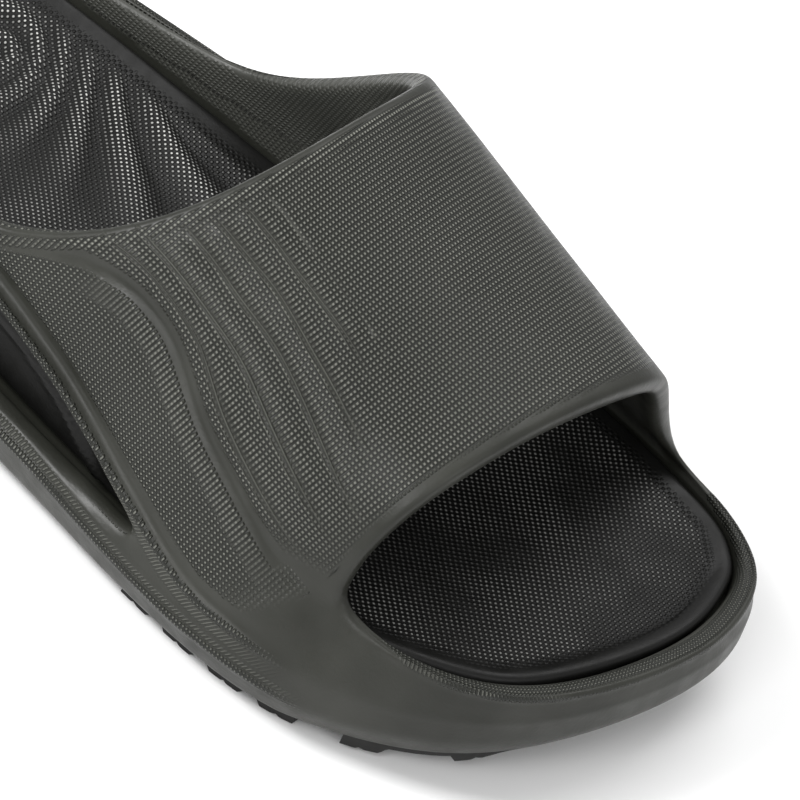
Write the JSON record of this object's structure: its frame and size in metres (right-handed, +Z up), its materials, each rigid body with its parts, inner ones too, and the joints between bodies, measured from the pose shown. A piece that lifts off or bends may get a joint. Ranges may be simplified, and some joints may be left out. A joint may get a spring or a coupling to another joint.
{
  "type": "sport slide sandal",
  "caption": "Thick-soled open-toe slide sandal for the right foot: a moulded foam shell with a wide instep band and side windows, a drop-in footbed and a barred rubber tread.",
  "frame": {"origin": "on the ground plane, under the centre of the box round the sandal", "axes": "+Y to the toe, +X to the outer (lateral) side of the right foot, +Z up"},
  "size_m": [0.108, 0.293, 0.0839],
  "materials": {
    "shell_foam": "matte moulded foam, grey-olive, with a fine raised grid, ripple lines and smooth borders",
    "footbed_foam": "black moulded foam with fine dots and contour ripples, slightly satin",
    "tread_rubber": "matte black rubber"
  },
  "bodies": {
    "root": {"shell": "shell_foam", "footbed": "footbed_foam", "heel_pad": "tread_rubber", "forefoot_pad": "tread_rubber", "toe_pad": "tread_rubber"}
  },
  "joints": []
}
